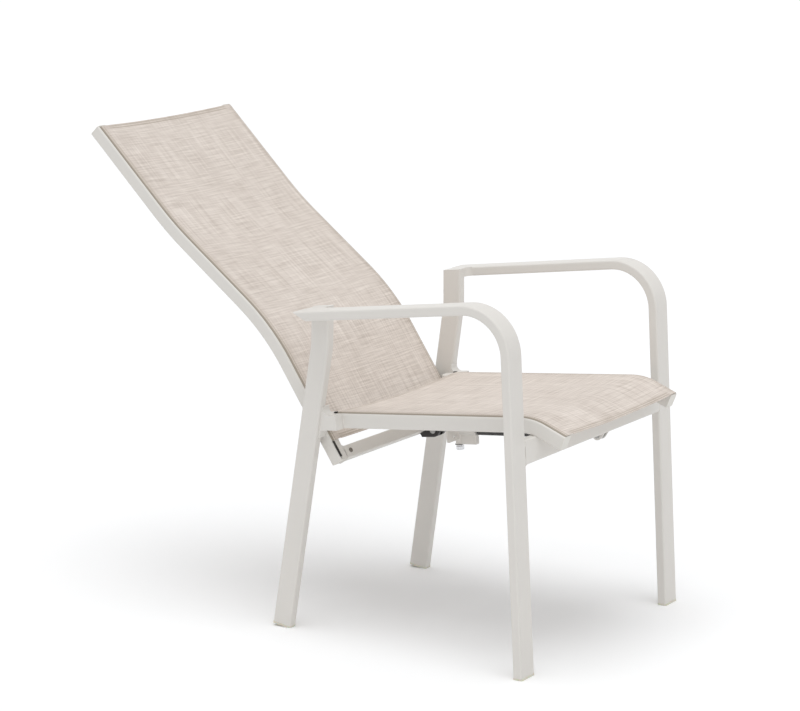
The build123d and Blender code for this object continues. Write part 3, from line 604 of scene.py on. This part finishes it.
def tube_along(name, line, start, end, x, height, radius, sides):
    """Round bar drawn along a side line: extruded on its runs and spun round its bends."""
    select_only()
    first, lean = line.at(start)
    bpy.ops.mesh.primitive_circle_add(
        vertices=sides, radius=radius, fill_type="NGON", location=line.place(start, x, height),
        rotation=(-lean, 0, 0))
    piece = new_piece(name)
    open_for_editing(piece)
    for begun, span, y, z, lean, after in line.spans:
        low, high = max(begun, start), min(begun + span, end)
        if high <= low:
            continue
        if lean == after:
            step = line.place(high, x, height) - line.place(low, x, height)
            bpy.ops.mesh.extrude_region_move(TRANSFORM_OT_translate={"value": step})
            continue
        radius_here = span / (after - lean)
        centre = Vector((x, y, z)) + Vector((0, cos(lean), -sin(lean))) * radius_here
        bpy.ops.mesh.spin(steps=max(4, int(degrees(abs(after - lean)) / 2)), angle=after - lean,
                          center=centre, axis=(1, 0, 0))
    return close_piece(piece)


def weld_ring(name, centre, lean, width, depth, corner, welds):
    """Weld seam round a rounded tube that runs along X, drawn out from a torus."""
    waves_x, waves_y, waves_on_waves = 3100, 2900, 0.37
    select_only()
    bpy.ops.mesh.primitive_torus_add(
        major_segments=4 * welds.around, minor_segments=10, major_radius=corner,
        minor_radius=welds.bead)
    piece = new_piece(name)
    open_for_editing(piece)
    for side_x in (-1, 1):
        for side_y in (-1, 1):
            pick_points(piece, lambda co: co.x * side_x > 1e-7 and co.y * side_y > -1e-7)
            bpy.ops.transform.translate(
                value=(side_x * (width / 2 - corner), side_y * (depth / 2 - corner), 0))
    bpy.ops.object.mode_set(mode="OBJECT")
    for vert in piece.data.vertices:
        turn = vert.co.x * waves_x + vert.co.y * waves_y
        vert.co.z *= 1 + welds.swell * sin(turn) * sin(turn * waves_on_waves)
    piece.matrix_world = Matrix.Translation(centre) @ Matrix.Rotation(-lean, 4, "X") @ \
        Matrix.Rotation(radians(90), 4, "Y")
    return close_piece(piece, 60.0)


def joined(name, pieces):
    select_only(*pieces)
    bpy.ops.object.join()
    return new_piece(name)


# The cloth


def across_section(sizes, cloth):
    """Middle of the cloth from one free edge, round one cord, across and round the other."""
    low = cloth.top_level - cloth.layer_step
    inner_x = sizes.groove - cloth.slot_half
    outer_x = sizes.groove + cloth.slot_half
    step = cloth.column
    pocket = [(cloth.side_hem + (inner_x - cloth.inner_turn - cloth.side_hem) * share, low)
              for share in (0.0, 0.1, 0.4, 0.7, 1.0)]
    for angle in (60, 30, 0):
        pocket.append((inner_x - cloth.inner_turn + cloth.inner_turn * cos(radians(angle)),
                       low - cloth.inner_turn + cloth.inner_turn * sin(radians(angle))))
    gap = degrees(asin(cloth.slot_half / cloth.loop))
    turns = 14
    for count in range(turns + 1):
        angle = radians(90 + gap + (360 - 2 * gap) * count / turns)
        pocket.append((sizes.groove + cloth.loop * cos(angle),
                       cloth.loop * sin(angle) - sizes.groove_below))
    for angle in (0, 22, 45, 68, 90):
        pocket.append((outer_x - cloth.outer_turn + cloth.outer_turn * cos(radians(angle)),
                       cloth.top_level - cloth.outer_turn * (1 - sin(radians(angle)))))
    seam = [cloth.side_seam + offset * cloth.seam_reach for offset in (1, 0.4, 0, -0.4, -1)]
    inner = seam[-1] - cloth.seam_reach
    count = int(inner / step)
    middle = [inner - 2 * inner * index / (2 * count) for index in range(2 * count + 1)]
    beside = outer_x - cloth.outer_turn - cloth.seam_reach / 2
    top = [beside, *seam, *middle, *[-x for x in reversed(seam)], -beside]
    points = [(x, h, False) for x, h in pocket]
    points += [(x, cloth.top_level, True) for x in top]
    points += [(-x, h, False) for x, h in reversed(pocket)]
    return points


def sheet_of_cloth(name, sling):
    """One sling: pockets round both cords, hems folded under at both ends, seams drawn in."""
    cloth, seams, start, end = sling.cloth, sling.seams, sling.start, sling.end
    section = across_section(sling.sizes, cloth)
    rows = {start, end}
    rows.update(seam + share * cloth.seam_reach
                for seam in seams for share in (-1, -0.4, 0, 0.4, 1))
    clear_of_seam = 1.6 * cloth.seam_reach
    count = int((end - start) / cloth.row)
    for index in range(1, count):
        distance = start + (end - start) * index / count
        if all(abs(distance - seam) > clear_of_seam for seam in seams):
            rows.add(distance)
    rows = sorted(rows)

    def drawn_in(distance, reach):
        return max(0.0, 1 - abs(distance) / reach) ** 1.5

    across = [0.0]
    for before, after in zip(section, section[1:]):
        across.append(across[-1] + hypot(after[0] - before[0], after[1] - before[1]))
    form = bmesh.new()
    # The crease value draws the cloth in at the seams and sets the painted shade there and inside the slot
    crease_and_shade_layer = form.verts.layers.float.new("crease_and_shade")
    layers_layer = form.verts.layers.float.new("layers")
    uv_layer = form.loops.layers.uv.new("cloth")
    total = end - start + 2 * cloth.hem
    place_of = {}

    def add(x, height, distance, index, flat_along, crease_and_shade, layers):
        vert = form.verts.new(sling.line.place(distance, x, sling.depth / 2 + height))
        vert[crease_and_shade_layer] = crease_and_shade
        vert[layers_layer] = layers
        place_of[vert] = (across[index] / across[-1], (flat_along + cloth.hem) / total)
        return vert

    def face(*corners):
        made = form.faces.new(corners)
        made.smooth = True
        for loop in made.loops:
            loop[uv_layer].uv = place_of[loop.vert]

    grid = []
    for distance in rows:
        line_of_verts = []
        end_seam = max(drawn_in(distance - seam, cloth.seam_reach) for seam in seams)
        in_hem = distance < start + cloth.hem or distance > end - cloth.hem
        for index, (x, height, top) in enumerate(section):
            side_seam = drawn_in(abs(x) - cloth.side_seam, cloth.seam_reach) if top else 0.0
            crease_and_shade = max(side_seam, end_seam if top and abs(x) < cloth.hem_half else 0.0)
            double = top and (in_hem or abs(x) > cloth.side_hem)
            # Points inside the slot take 2: full painted fold shade
            line_of_verts.append(add(
                x, sling.level(x, height, distance) - cloth.seam_dip * crease_and_shade, distance, index,
                distance - start, crease_and_shade if top else 2.0, 1.0 if double else 0.0))
        grid.append(line_of_verts)
    for low, high in zip(grid, grid[1:]):
        for index in range(len(section) - 1):
            face(low[index], low[index + 1], high[index + 1], high[index])

    folded = [index for index, (x, _, top) in enumerate(section)
              if top and abs(x) <= cloth.hem_half]
    fold = cloth.layer_step / 2
    for edge_row, edge, outward in ((grid[0], start, -1), (grid[-1], end, 1)):
        steps = [(fold * sin(turn), fold * (1 - cos(turn)), fold * turn)
                 for turn in (pi / 4, pi / 2, pi * 3 / 4, pi)]
        steps += [(-cloth.hem * share, 2 * fold, pi * fold + cloth.hem * share)
                  for share in (0.15, 0.4, 0.7, 1.0)]
        before = {index: edge_row[index] for index in folded}
        for beyond, drop, spent in steps:
            distance = edge + outward * beyond
            after = {}
            for index in folded:
                x, height, _ = section[index]
                after[index] = add(x, sling.level(x, height, distance) - drop, distance, index,
                                   edge - start + outward * spent, 0.0, 1.0)
            for left, right in zip(folded, folded[1:]):
                if outward > 0:
                    face(before[left], before[right], after[right], after[left])
                else:
                    face(after[left], after[right], before[right], before[left])
            before = after
    mesh = bpy.data.meshes.new(name)
    form.to_mesh(mesh)
    form.free()
    piece = linked(name, mesh)
    bpy.ops.object.modifier_add(type="SOLIDIFY")
    thicken = piece.modifiers[0]
    thicken.thickness = cloth.thickness
    thicken.offset = 0.0
    thicken.use_even_offset = False
    bpy.ops.object.modifier_apply(modifier=thicken.name)
    return piece, across[-1], total


def stitch_form(cloth):
    """One stitch: a short thread that dives into the cloth at both ends."""
    select_only()
    bpy.ops.mesh.primitive_uv_sphere_add(segments=6, ring_count=5, radius=0.5)
    piece = new_piece("stitch")
    open_for_editing(piece)
    bpy.ops.transform.resize(value=(cloth.thread, cloth.thread, cloth.stitch))
    bpy.ops.object.mode_set(mode="OBJECT")
    for vert in piece.data.vertices:
        vert.co.x -= cloth.thread * 1.2 * (abs(vert.co.z) * 2 / cloth.stitch) ** 2
    points = [vert.co.copy() for vert in piece.data.vertices]
    faces = [tuple(face.vertices) for face in piece.data.polygons]
    bpy.data.objects.remove(piece)
    return points, faces


def stitch_rows(name, sling):
    """All stitches of one sling as one piece."""
    cloth, start, end = sling.cloth, sling.start, sling.end
    points, faces = stitch_form(cloth)
    height = sling.depth / 2 + cloth.top_level + cloth.thickness / 2 - cloth.seam_dip * 0.7
    places = []

    def put(x, distance, along_x):
        _, lean = sling.line.at(distance)
        out = Vector((0, -cos(lean), sin(lean)))
        forward = Vector((0, sin(lean), cos(lean)))
        side = Vector((1, 0, 0))
        if along_x:
            slope = 2 * cloth.sag * x / sling.sizes.rail_inner ** 2
            run = (side + out * slope).normalized()
            out_here = (out - side * slope).normalized()
        else:
            run, out_here = forward, out
        turn = Matrix((out_here, run.cross(out_here), run)).transposed()
        places.append((sling.line.place(distance, x, sling.level(x, height, distance)), turn))

    for seam in sling.seams:
        count = int(2 * cloth.hem_half / cloth.stitch_pitch)
        for index in range(count + 1):
            put(-cloth.hem_half + 2 * cloth.hem_half * index / count, seam, True)
    first, run_length = start + cloth.stitch_inset, end - start - 2 * cloth.stitch_inset
    count = int(run_length / cloth.stitch_pitch)
    for side in (-1, 1):
        for index in range(count + 1):
            put(side * cloth.side_seam, first + run_length * index / count, False)
    verts, polygons = [], []
    for centre, turn in places:
        before = len(verts)
        verts += [centre + turn @ point for point in points]
        polygons += [tuple(before + corner for corner in face) for face in faces]
    mesh = bpy.data.meshes.new(name)
    mesh.from_pydata([tuple(vert) for vert in verts], [], polygons)
    piece = linked(name, mesh)
    open_for_editing(piece)
    bpy.ops.mesh.normals_make_consistent(inside=False)
    bpy.ops.object.mode_set(mode="OBJECT")
    bpy.ops.object.shade_smooth()
    return piece


class Sling:
    """What the operators of one sling share."""

    def __init__(self, scene, part):
        sizes, cloth = scene.armchair_frame, scene.armchair_cloth
        self.sizes, self.cloth, self.part = sizes, cloth, part
        self.colours = scene.armchair_colours
        seat = part == "seat"
        self.body = "frame" if seat else "back"
        self.line = (seat_line if seat else back_line)(sizes)
        self.depth = sizes.seat_depth if seat else sizes.back_depth
        self.start = cloth.seat_front if seat else cloth.back_low
        self.end = self.line.length - (cloth.seat_rear if seat else cloth.back_top)
        self.seams = (self.start + cloth.first_seam, self.start + cloth.second_seam,
                      self.end - cloth.second_seam, self.end - cloth.first_seam)

    def rippled(self, x, distance):
        """Faint folds, most at the seat's rear; the waves' numbers are radians a metre."""
        if self.part == "back":
            return self.cloth.ripple * sin(x * 23 + 0.6) * sin(distance * 15 + 0.4)
        reach_of_folds = 0.09
        near_rear = exp(-((self.line.length - distance) / reach_of_folds) ** 2)
        slow = sin(x * 31 + distance * 17) * sin(distance * 23 + 1.3)
        return self.cloth.ripple * (near_rear * sin(distance * 190 + x * 9) * 0.7 + slow * 0.6)

    def level(self, x, height, distance):
        """A height on the cloth with its sag and its ripples between the tubes."""
        crown = max(0.0, 1 - (x / self.sizes.rail_inner) ** 2)
        return height + (self.rippled(x, distance) - self.cloth.sag) * crown

    def make_cloth(self):
        piece, width, flat_length = sheet_of_cloth(f"{self.part}_sling_cloth", self)
        material = cloth_finish(f"{self.part} melange weave", self.colours, self.cloth.pitch,
                                width, flat_length)
        dress(piece, material, self.body)
        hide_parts(f"{self.part}_sling")

    def make_stitches(self):
        piece = stitch_rows(f"{self.part}_sling_stitches", self)
        dress(piece, strand_finish(f"{self.part} sewing thread", self.colours.thread[:], 2400.0),
              self.body)

    def make_cords(self):
        material = strand_finish(f"{self.part} edge cord", self.colours.cord[:], 600.0)
        inset = self.cloth.cord_inset
        for side, x in (("left", self.sizes.groove), ("right", -self.sizes.groove)):
            piece = tube_along(
                f"{self.part}_cord_{side}", self.line, self.start + inset, self.end - inset, x,
                self.depth / 2 - self.sizes.groove_below, self.cloth.cord / 2, 14)
            dress(piece, material, self.body)
            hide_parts(f"{self.part}_edge_cord_{side}")


class ARMCHAIR_OT_slings(bpy.types.Operator):
    """Model the cloth of seat and back with its pockets, hems and weave"""
    bl_idname = "armchair.slings"
    bl_label = "Slings"

    def execute(self, context):
        for part, tube in (("seat", "seat_rail"), ("back", "back_tube")):
            Sling(context.scene, part).make_cloth()
        return {"FINISHED"}


class ARMCHAIR_OT_edge_cords(bpy.types.Operator):
    """Model the round cords that hold the cloth in the slotted tubes"""
    bl_idname = "armchair.edge_cords"
    bl_label = "Edge Cords"

    def execute(self, context):
        for part in ("seat", "back"):
            Sling(context.scene, part).make_cords()
        return {"FINISHED"}


class ARMCHAIR_OT_stitching(bpy.types.Operator):
    """Sew the hems and side seams of both slings"""
    bl_idname = "armchair.stitching"
    bl_label = "Stitching"

    def execute(self, context):
        for part in ("seat", "back"):
            Sling(context.scene, part).make_stitches()
        return {"FINISHED"}


def slot_stop(name, line, start, end, x, face, head, stops):
    """Moulded stop for a stretch of open slot: a flat head on the tube and a stem in the slot."""
    _, lean = line.at((start + end) / 2)
    piece = block(name, (stops.head_width, head, end - start))
    piece.location = line.place((start + end) / 2, x, face + head / 2)
    piece.rotation_euler = (-lean, 0, 0)
    bevelled(piece, stops.edge)
    form = bmesh.from_edit_mesh(piece.data)
    under = max(form.faces, key=lambda face: (round(face.normal.y, 3), face.calc_area()))
    for face in form.faces:
        face.select = face is under
    bpy.ops.mesh.inset(thickness=stops.edge)
    bpy.ops.transform.resize(value=(stops.width / stops.head_width, 1, 0.9),
                             orient_type="LOCAL")
    bpy.ops.mesh.extrude_region_move(
        TRANSFORM_OT_translate={"value": (0, stops.height, 0), "orient_type": "LOCAL"})
    return close_piece(piece)


class ARMCHAIR_OT_slot_stops(bpy.types.Operator):
    """Close the tubes' open slot ends with small black stops, whose black is painted shade for the dark open slot
    """
    bl_idname = "armchair.slot_stops"
    bl_label = "Slot Stops"

    def execute(self, context):
        stops = context.scene.armchair_stops
        # The stops' black is painted shade: it stands for the dark inside the open slots
        material = moulded_finish("black slot stops", context.scene.armchair_colours.black[:], 0.5)
        for part in ("seat", "back"):
            sling = Sling(context.scene, part)
            if part == "seat":
                start, end = sling.end + stops.gap, sling.end + stops.gap + stops.seat_length
            else:
                start, end = stops.back_inset, sling.start - stops.gap
            head = stops.seat_head if part == "seat" else stops.head
            pieces = [slot_stop(f"{part}_stop_{count}", sling.line, start, end, x, sling.depth / 2,
                                head, stops)
                      for count, x in enumerate((-sling.sizes.groove, sling.sizes.groove))]
            dress(joined(f"{part}_slot_stops", pieces), material, sling.body)
        return {"FINISHED"}


class ARMCHAIR_OT_arm_ends(bpy.types.Operator):
    """Cut the armrests' rear ends back at a slant and close them with plates"""
    bl_idname = "armchair.arm_ends"
    bl_label = "Arm Ends"

    def execute(self, context):
        arm = context.scene.armchair_arm
        low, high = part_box("arm_end_plugs")
        # Upper and lower ends of the slanted cut, seen from the side
        tip = Vector((0, high.y - arm.shorter, high.z))
        tail = Vector((0, tip.y - arm.slant, low.z))
        run = tip - tail
        tilt = Matrix.Rotation(radians(90) - run.angle(Vector((0, 0, 1))), 4, "X")
        below = tilt @ Vector((0, 0, -1))
        centre_x = high.x - arm.width / 2
        plates = []
        for side, node in ((-1, "arm_and_front_leg_right"), (1, "arm_and_front_leg_left")):
            middle = (tip + tail) / 2 + Vector((side * centre_x, 0, 0))
            cutter = block(f"{node}_end_cut", (arm.width + arm.room / 5,
                                               2 * run.length + arm.room, arm.room))
            cutter.matrix_world = Matrix.Translation(middle + below * arm.room / 2) @ tilt
            bpy.ops.object.transform_apply(location=True, rotation=True, scale=False)
            cutter.hide_render = True
            cutter.hide_set(True)
            cut = frame["nodes"][node].modifiers.new("slanted end", "BOOLEAN")
            cut.operation = "DIFFERENCE"
            cut.solver = "EXACT"
            cut.object = cutter

            plate_length = run.length * (1 - 2 * arm.wall / (high.z - low.z)) - arm.trim
            plate = block(f"{node}_end_plate",
                          (arm.width - 2 * arm.wall, plate_length, arm.plate))
            bevelled(plate, arm.plate / 5)
            bpy.ops.object.mode_set(mode="OBJECT")
            raised = run.normalized() * arm.trim / 2 - below * arm.plate / 2
            plate.matrix_world = Matrix.Translation(middle + raised) @ tilt
            plates.append(close_piece(plate))
        piece = joined("arm_end_plates", plates)
        dress(piece, coat_finish("coated end plates", context.scene.armchair_colours.coat[:]),
              "frame")
        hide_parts("arm_end_plugs")
        return {"FINISHED"}


class ARMCHAIR_OT_weld_seams(bpy.types.Operator):
    """Run weld seams round the ends of the cross tubes"""
    bl_idname = "armchair.weld_seams"
    bl_label = "Weld Seams"

    def execute(self, context):
        welds = context.scene.armchair_weld
        material = coat_finish("coated weld seams", context.scene.armchair_colours.coat[:], 0.5)
        low_lean = context.scene.armchair_frame.back_low_lean
        # Node, body, lean, and the height, depth and corner radius of the tube's section
        joints = (
            ("front_cross_bar", "frame", radians(3.1), 0.045, 0.018, 0.0035),
            ("seat_rear_tie", "frame", radians(5.7), 0.020, 0.020, 0.003),
            ("back_lower_tie", "back", low_lean, 0.025, 0.025, 0.003),
        )
        for node, body, lean, tall, deep, corner in joints:
            low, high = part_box(node)
            middle = (low + high) / 2
            rings = [weld_ring(f"{node}_weld_{count}", Vector((x, middle.y, middle.z)), lean,
                               tall, deep, corner, welds)
                     for count, x in enumerate((-high.x, high.x))]
            dress(joined(f"{node}_welds", rings), material, body)
        return {"FINISHED"}


class ARMCHAIR_OT_frame_finishes(bpy.types.Operator):
    """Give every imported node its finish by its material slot"""
    bl_idname = "armchair.frame_finishes"
    bl_label = "Frame Finishes"

    def execute(self, context):
        colours = context.scene.armchair_colours
        finishes = {
            "frame_coat": coat_finish("warm white powder coat", colours.coat[:]),
            "head_plastic": coat_finish("coated casting", colours.coat[:], 0.5),
            "cap_plastic": moulded_finish("pale plastic caps", colours.cap[:], 0.42),
            "glide_plastic": moulded_finish("translucent feet", colours.foot[:], 0.34,
                                            260.0, 0.35),
            "fastener_steel": metal_finish("zinc plated steel", colours.steel[:], 0.36,
                                           (900.0, 60.0, 60.0)),
            "fitting_steel": metal_finish("turned steel", colours.steel[:], 0.3,
                                          (1500.0, 90.0, 90.0)),
            "bush_plastic": moulded_finish("dark bushes", colours.bush[:], 0.5),
            "rod_chrome": metal_finish("chromed rod", colours.chrome[:], 0.12,
                                       (300.0, 40.0, 300.0)),
            "button_chrome": metal_finish("chromed button", colours.chrome[:], 0.14,
                                          (200.0, 200.0, 60.0)),
            "cylinder_paint": painted_finish("black stoved paint", colours.black[:], 0.3),
            "black_plastic": moulded_finish("black moulding", colours.black[:], 0.48),
            "edge_cord": strand_finish("plain cord", colours.cord[:], 600.0),
            "sling_fabric": moulded_finish("plain cloth", colours.cloth_light[:], 0.7),
        }
        own = {"back_tie_screws": metal_finish("dark steel screws", colours.screw[:], 0.45,
                                               (900.0, 60.0, 60.0))}
        for part in frame["record"]["subparts"]:
            node = frame["nodes"][part["node"]]
            node.data.materials.clear()
            node.data.materials.append(own.get(part["node"], finishes[part["material_slot"]]))
        return {"FINISHED"}


class ARMCHAIR_OT_stage(bpy.types.Operator):
    """Set up the white studio, its soft light and the camera"""
    bl_idname = "armchair.stage"
    bl_label = "Stage"

    def execute(self, context):
        stage = context.scene.armchair_stage
        colour = context.scene.armchair_colours.floor[:]
        select_only()
        bpy.ops.mesh.primitive_plane_add(size=stage.floor_size)
        floor_piece = new_piece("studio_floor")
        finish = Finish("studio floor")
        lamp_share = stage.sky + (stage.sun * cos(stage.sun_lean)
                                  + stage.fill * cos(stage.fill_lean)) / pi
        lighting = finish.node("BsdfDiffuse", Color=colour)
        white = finish.node("BsdfDiffuse", Color=tuple(
            gain / lamp_share for gain in stage.white_gain))
        both = finish.node("MixShader", _0=finish.seen_directly(), _1=lighting.outputs[0],
                           _2=white.outputs[0])
        finish.node("OutputMaterial", Surface=both.outputs[0])
        floor_piece.data.materials.append(finish.owner)

        world = Finish("studio", "worlds")
        light = world.node("Background", Color=(1.0, 1.0, 1.0), Strength=stage.sky)
        backdrop = world.node("Background", Color=(1.0, 1.0, 1.0))
        both = world.node("MixShader", _0=world.seen_directly(), _1=light.outputs[0],
                          _2=backdrop.outputs[0])
        world.node("OutputWorld", Surface=both.outputs[0])
        context.scene.world = world.owner

        lamps = (
            ("overhead_lamp", stage.sun, stage.sun_spread, stage.sun_lean, stage.sun_turn),
            ("front_lamp", stage.fill, stage.fill_spread, stage.fill_lean, stage.fill_turn),
        )
        for name, energy, spread, lean, turn in lamps:
            lamp = bpy.data.lights.new(name, "SUN")
            lamp.energy = energy
            lamp.angle = spread
            lamp_piece = bpy.data.objects.new(name, lamp)
            lamp_piece.rotation_euler = (lean, 0, turn)
            context.scene.collection.objects.link(lamp_piece)

        view = bpy.data.cameras.new("camera")
        view.lens = stage.camera_lens
        view.sensor_width = 36.0
        view.clip_end = 200.0
        camera = bpy.data.objects.new("camera", view)
        camera.location = stage.camera_place
        camera.rotation_euler = (radians(90) - stage.camera_dip, 0, -stage.camera_turn)
        context.scene.collection.objects.link(camera)
        context.scene.camera = camera
        context.scene.view_settings.view_transform = "Standard"
        return {"FINISHED"}


class ARMCHAIR_PT_panel(bpy.types.Panel):
    """Pieces of the armchair in the order they are made"""
    bl_idname = "ARMCHAIR_PT_panel"
    bl_label = "Reclining Garden Armchair"
    bl_space_type = "VIEW_3D"
    bl_region_type = "UI"
    bl_category = "Armchair"

    def draw(self, context):
        for operator in OPERATORS:
            self.layout.operator(operator.bl_idname)


OPERATORS = (
    ARMCHAIR_OT_frame_finishes,
    ARMCHAIR_OT_slings,
    ARMCHAIR_OT_edge_cords,
    ARMCHAIR_OT_stitching,
    ARMCHAIR_OT_slot_stops,
    ARMCHAIR_OT_arm_ends,
    ARMCHAIR_OT_weld_seams,
    ARMCHAIR_OT_stage,
)
GROUPS = {
    "armchair_frame": ArmchairFrameSizes,
    "armchair_cloth": ArmchairClothSizes,
    "armchair_stops": ArmchairStopSizes,
    "armchair_arm": ArmchairArmSizes,
    "armchair_weld": ArmchairWeldSizes,
    "armchair_colours": ArmchairColours,
    "armchair_stage": ArmchairStage,
}


def register():
    for name, group in GROUPS.items():
        bpy.utils.register_class(group)
        setattr(bpy.types.Scene, name, PointerProperty(type=group))
    for item in (*OPERATORS, ARMCHAIR_PT_panel):
        bpy.utils.register_class(item)


def unregister():
    for item in reversed((*OPERATORS, ARMCHAIR_PT_panel)):
        bpy.utils.unregister_class(item)
    for name, group in reversed(GROUPS.items()):
        delattr(bpy.types.Scene, name)
        bpy.utils.unregister_class(group)


def main():
    register()
    for operator in OPERATORS:
        group, name = operator.bl_idname.split(".")
        getattr(getattr(bpy.ops, group), name)()


if __name__ == "__main__":
    main()
